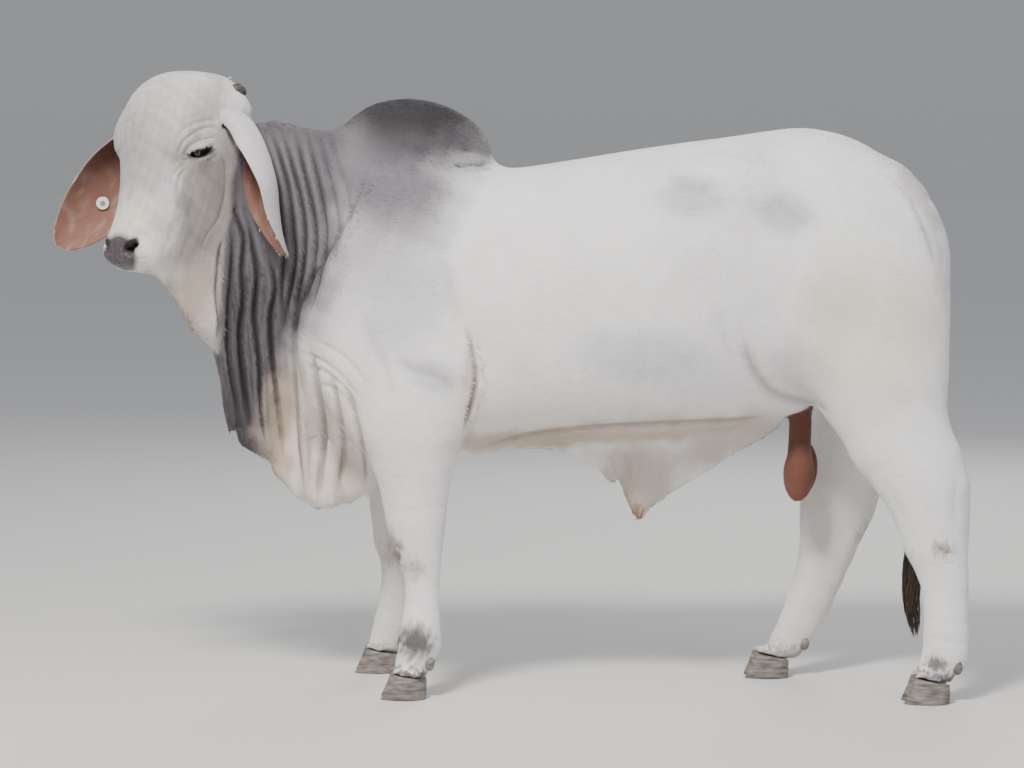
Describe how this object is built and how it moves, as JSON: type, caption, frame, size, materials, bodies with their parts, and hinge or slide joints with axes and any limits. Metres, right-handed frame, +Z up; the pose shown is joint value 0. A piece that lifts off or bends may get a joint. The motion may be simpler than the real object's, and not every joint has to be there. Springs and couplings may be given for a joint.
{
  "type": "brahman bull",
  "caption": "Mature white and grey Brahman bull standing still, head turned to its left, with hump, pleated dewlap, long drooping ears, sheath and one round ear tag.",
  "frame": {"origin": "on the floor under the middle of the bull's bounding box", "axes": "+X towards the tail, so the trunk faces -X; -Y is the bull's left side, the one the picture shows; +Z up"},
  "size_m": [2.4238, 0.7154, 1.641],
  "materials": {
    "white_hide": "short flat white coat with pale grey patches",
    "face_hide": "short pale grey coat, creamier at the muzzle",
    "grey_hide": "short dark grey coat, paler in the folds",
    "pink_skin": "thin bare skin of the ear's hollow side, pink brown",
    "tan_skin": "bare terracotta skin",
    "black_hair": "coarse black brown hair",
    "horn": "dull grey horn",
    "eye": "wet dark brown, almost black",
    "tag_white": "white moulded plastic",
    "tag_grey": "grey moulded plastic"
  },
  "bodies": {
    "root": {"trunk": "white_hide", "sheath": "white_hide", "tail": "white_hide", "head": "face_hide", "hump": "grey_hide", "neck": "grey_hide", "dewlap": "grey_hide", "ear_left": "pink_skin", "ear_right": "pink_skin", "scrotum": "tan_skin", "eye_left": "eye", "eye_right": "eye", "scur_left": "horn", "scur_right": "horn", "tail_switch": "black_hair", "ear_tag": "tag_white", "ear_tag_pin": "tag_grey", "foreleg_left_arm": "white_hide", "foreleg_left_shank": "white_hide", "foreleg_left_claw_outer": "horn", "foreleg_left_claw_inner": "horn", "foreleg_left_dewclaw_outer": "horn", "foreleg_left_dewclaw_inner": "horn", "foreleg_right_arm": "white_hide", "foreleg_right_shank": "white_hide", "foreleg_right_claw_outer": "horn", "foreleg_right_claw_inner": "horn", "foreleg_right_dewclaw_outer": "horn", "foreleg_right_dewclaw_inner": "horn", "hindleg_left_thigh": "white_hide", "hindleg_left_shank": "white_hide", "hindleg_left_claw_outer": "horn", "hindleg_left_claw_inner": "horn", "hindleg_left_dewclaw_outer": "horn", "hindleg_left_dewclaw_inner": "horn", "hindleg_right_thigh": "white_hide", "hindleg_right_shank": "white_hide", "hindleg_right_claw_outer": "horn", "hindleg_right_claw_inner": "horn", "hindleg_right_dewclaw_outer": "horn", "hindleg_right_dewclaw_inner": "horn"}
  },
  "joints": []
}
